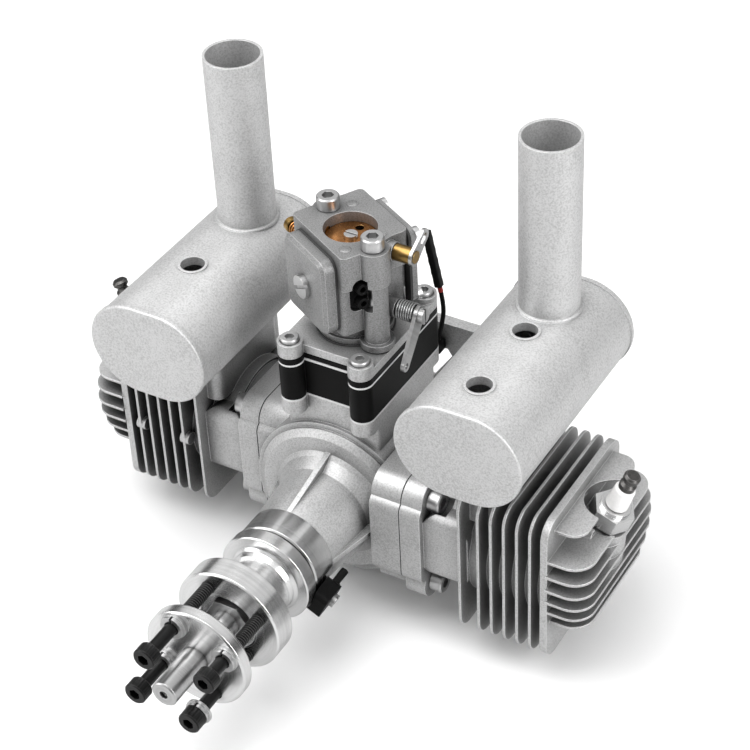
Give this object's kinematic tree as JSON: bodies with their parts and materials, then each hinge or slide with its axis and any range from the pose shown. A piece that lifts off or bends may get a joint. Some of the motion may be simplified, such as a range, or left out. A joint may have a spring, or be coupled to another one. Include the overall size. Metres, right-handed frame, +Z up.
{
  "type": "flat twin aircraft engine",
  "caption": "Flat piston aircraft engine with opposed finned cylinders, tall-piped mufflers, top carburettor and a propeller hub on its nose.",
  "frame": {"origin": "centre of the rear mounting face, on the crank axis", "axes": "+X along the right cylinder, +Y rearwards along the crank axis towards the mount, +Z up towards the carburettor; the propeller is at -Y"},
  "size_m": [0.2338, 0.187, 0.1879],
  "materials": {
    "cast": "bead-blasted casting",
    "machined": "machined bright",
    "steel": "ground",
    "bright_screw": "plated",
    "black_oxide": "black oxide",
    "gasket_dark": "pressed fibre",
    "gasket_pale": "pressed paper",
    "black_block": "moulded, satin",
    "insulator": "glazed white",
    "plug_steel": "nickel plated",
    "terminal": "dark plated",
    "brass": "turned",
    "copper": "copper-coloured sheet",
    "carb_cast": "die-cast",
    "seal": "matte",
    "lead": "matte sleeve",
    "reed": "woven sheet"
  },
  "bodies": {
    "engine": {"crankcase": "cast", "nose_ring": "machined", "main_bearings": "steel", "nose_seal": "seal", "cylinder_right": "cast", "cylinder_left": "cast", "base_gaskets": "gasket_dark", "cylinder_screws": "bright_screw", "plug_shells": "plug_steel", "plug_insulators": "insulator", "plug_terminals": "terminal", "muffler_right": "cast", "muffler_left": "cast", "exhaust_gaskets": "gasket_dark", "muffler_screws": "bright_screw", "intake_lines": "gasket_pale", "intake_block": "black_block", "reed_block": "machined", "reed_petals": "reed", "intake_spacer": "black_block", "adapter_plate": "cast", "adapter_screws": "bright_screw", "carb_body": "carb_cast", "pump_cover": "carb_cast", "metering_cover": "carb_cast", "carb_gaskets": "gasket_dark", "small_screws": "bright_screw", "carb_screws": "bright_screw", "idle_screw": "brass", "needle_guide": "black_block", "throttle_spring": "steel", "sensor": "black_block", "pickup_lead": "lead", "lead_connector": "lead", "lead_clip": "black_block"},
    "crank": {"crankshaft": "steel", "prop_hub": "machined", "hub_nut": "steel"},
    "prop_clamp": {"prop_plate": "machined", "prop_washers": "black_oxide"},
    "prop_bolts": {"prop_screws": "black_oxide", "loose_washers": "black_oxide"},
    "piston_right": {"piston_right": "machined", "piston_rings_right": "steel", "wrist_pin_right": "steel"},
    "piston_left": {"piston_left": "machined", "piston_rings_left": "steel", "wrist_pin_left": "steel"},
    "rod_right": {"con_rod_right": "steel", "crank_pin_right": "steel"},
    "rod_left": {"con_rod_left": "steel", "crank_pin_left": "steel"},
    "throttle": {"throttle_shaft": "steel", "throttle_disc": "brass", "throttle_lever": "steel", "throttle_screws": "bright_screw"},
    "choke": {"choke_shaft": "brass", "choke_disc": "copper", "choke_lever": "steel", "choke_screw": "bright_screw"}
  },
  "joints": [
    {"name": "crank_spin", "type": "hinge", "parent": "engine", "child": "crank", "pos_m": [0, 0, 0], "axis": [0, 1, 0], "continuous": true},
    {"name": "piston_right_slide", "type": "slide", "parent": "engine", "child": "piston_right", "axis": [1, 0, 0], "range_m": [-0.028, 0]},
    {"name": "piston_left_slide", "type": "slide", "parent": "engine", "child": "piston_left", "axis": [-1, 0, 0], "range_m": [-0.028, 0]},
    {"name": "rod_right_swing", "type": "hinge", "parent": "piston_right", "child": "rod_right", "pos_m": [0.069, -0.059, 0], "axis": [0, 1, 0], "range_deg": [-14.75, 14.75]},
    {"name": "rod_left_swing", "type": "hinge", "parent": "piston_left", "child": "rod_left", "pos_m": [-0.069, -0.043, 0], "axis": [0, 1, 0], "range_deg": [-14.75, 14.75]},
    {"name": "prop_clamp_slide", "type": "slide", "parent": "crank", "child": "prop_clamp", "axis": [0, 1, 0], "range_m": [0, 0.0134]},
    {"name": "prop_bolts_slide", "type": "slide", "parent": "crank", "child": "prop_bolts", "axis": [0, 1, 0], "range_m": [0, 0.006]},
    {"name": "throttle_turn", "type": "hinge", "parent": "engine", "child": "throttle", "pos_m": [0, -0.051, 0.0796], "axis": [1, 0, 0], "range_deg": [0, 75], "stiffness_Nm_per_rad": 0.02, "springref_deg": -22.92},
    {"name": "choke_turn", "type": "hinge", "parent": "engine", "child": "choke", "pos_m": [0, -0.051, 0.104], "axis": [1, 0, 0], "range_deg": [0, 85]}
  ],
  "couplings": [
    {"joint": "piston_left_slide", "follows": "piston_right_slide", "ratio": 1},
    {"joint": "rod_left_swing", "follows": "rod_right_swing", "ratio": 1}
  ]
}
